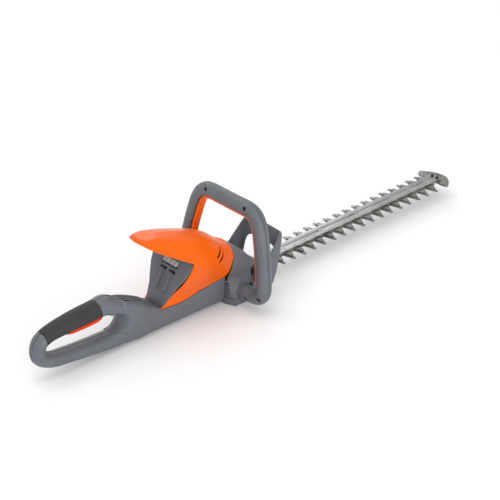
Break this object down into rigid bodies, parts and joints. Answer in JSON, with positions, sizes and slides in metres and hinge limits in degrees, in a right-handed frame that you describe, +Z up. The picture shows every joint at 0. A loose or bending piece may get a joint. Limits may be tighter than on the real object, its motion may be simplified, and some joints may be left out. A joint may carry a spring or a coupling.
{
  "type": "cordless hedge trimmer",
  "caption": "Cordless hedge trimmer with a closed rear handle, front loop handle, hooded battery bay, hand guard and long double-sided reciprocating blade.",
  "frame": {"origin": "on the ground, under the middle of the gearbox foot", "axes": "+X along the blade to its tip, +Y to the user's left, +Z up"},
  "size_m": [0.955, 0.222, 0.1888],
  "materials": {
    "casing": "textured",
    "dark": "soft touch",
    "orange": "gloss",
    "trigger": "satin",
    "steel": "satin",
    "blade": "ground",
    "zinc": "cast",
    "board": "satin",
    "terminal": "satin",
    "fixing": "black oxide",
    "brass": "satin"
  },
  "bodies": {
    "housing": {"casing_left": "casing", "casing_right": "casing", "hood": "orange", "bay_panel": "casing", "bay_ceiling": "dark", "latch_plate": "zinc", "terminal_block": "terminal", "contact_negative": "brass", "contact_data": "brass", "contact_positive": "brass", "grip_sleeve": "dark", "rear_microswitch": "dark", "trigger_pin": "steel", "trigger_spring": "steel", "controller_board": "board", "motor_can": "zinc", "motor_bracket": "zinc", "gear_plate": "zinc", "crank_bearing": "steel", "idler_pin": "steel", "gearbox_case": "casing", "gearbox_base": "casing", "loop_front_shell": "casing", "loop_rear_shell": "casing", "front_microswitch": "dark", "bail_spring_left": "steel", "bail_spring_right": "steel", "bushing_left": "casing", "bushing_right": "casing", "hand_guard": "casing", "guard_screw_left": "fixing", "guard_screw_right": "fixing", "guide_bar": "steel", "tip_guard": "blade", "tip_screw_1": "fixing", "tip_screw_2": "fixing", "bar_screw": "fixing", "base_screw_1": "fixing", "base_screw_2": "fixing", "base_screw_3": "fixing", "base_screw_4": "fixing", "blade_bolt_1": "steel", "blade_bolt_2": "steel", "blade_bolt_3": "steel", "blade_bolt_4": "steel", "blade_bolt_5": "steel", "loop_screw_1": "fixing", "loop_screw_2": "fixing", "loop_screw_3": "fixing", "loop_screw_4": "fixing", "loop_screw_5": "fixing", "loop_screw_6": "fixing"},
    "rear_trigger": {"rear_trigger": "trigger"},
    "switch_bail": {"switch_bail": "orange"},
    "crank": {"crank_gear": "zinc"},
    "idler": {"idler_gear": "zinc"},
    "armature": {"motor_pinion": "steel", "motor_fan": "dark"},
    "upper_blade": {"upper_blade": "blade"},
    "lower_blade": {"lower_blade": "blade"}
  },
  "joints": [
    {"name": "trigger_pull", "type": "hinge", "parent": "housing", "child": "rear_trigger", "pos_m": [-0.348, 0, 0.072], "axis": [0, -1, 0], "range_deg": [0, 6], "stiffness_Nm_per_rad": 0.6, "springref_deg": -11.46, "deforming": ["trigger_spring"]},
    {"name": "bail_squeeze", "type": "slide", "parent": "housing", "child": "switch_bail", "axis": [0.1118, 0, 0.9937], "range_m": [0, 0.003], "stiffness_N_per_m": 800, "springref_m": -0.002, "deforming": ["bail_spring_left", "bail_spring_right"]},
    {"name": "crank_turn", "type": "hinge", "parent": "housing", "child": "crank", "pos_m": [-0.016, 0, 0], "axis": [0, 0, 1], "continuous": true},
    {"name": "idler_turn", "type": "hinge", "parent": "housing", "child": "idler", "pos_m": [-0.0505, 0, 0], "axis": [0, 0, 1], "continuous": true},
    {"name": "armature_turn", "type": "hinge", "parent": "housing", "child": "armature", "pos_m": [-0.0715, 0, 0], "axis": [0, 0, 1], "continuous": true},
    {"name": "upper_blade_slide", "type": "slide", "parent": "housing", "child": "upper_blade", "axis": [1, 0, 0], "range_m": [-0.00625, 0.00625]},
    {"name": "lower_blade_slide", "type": "slide", "parent": "housing", "child": "lower_blade", "axis": [1, 0, 0], "range_m": [-0.00625, 0.00625]}
  ],
  "couplings": [
    {"joint": "idler_turn", "follows": "crank_turn", "ratio": -1.5556},
    {"joint": "armature_turn", "follows": "crank_turn", "ratio": 2.8},
    {"joint": "lower_blade_slide", "follows": "upper_blade_slide", "ratio": -1}
  ]
}
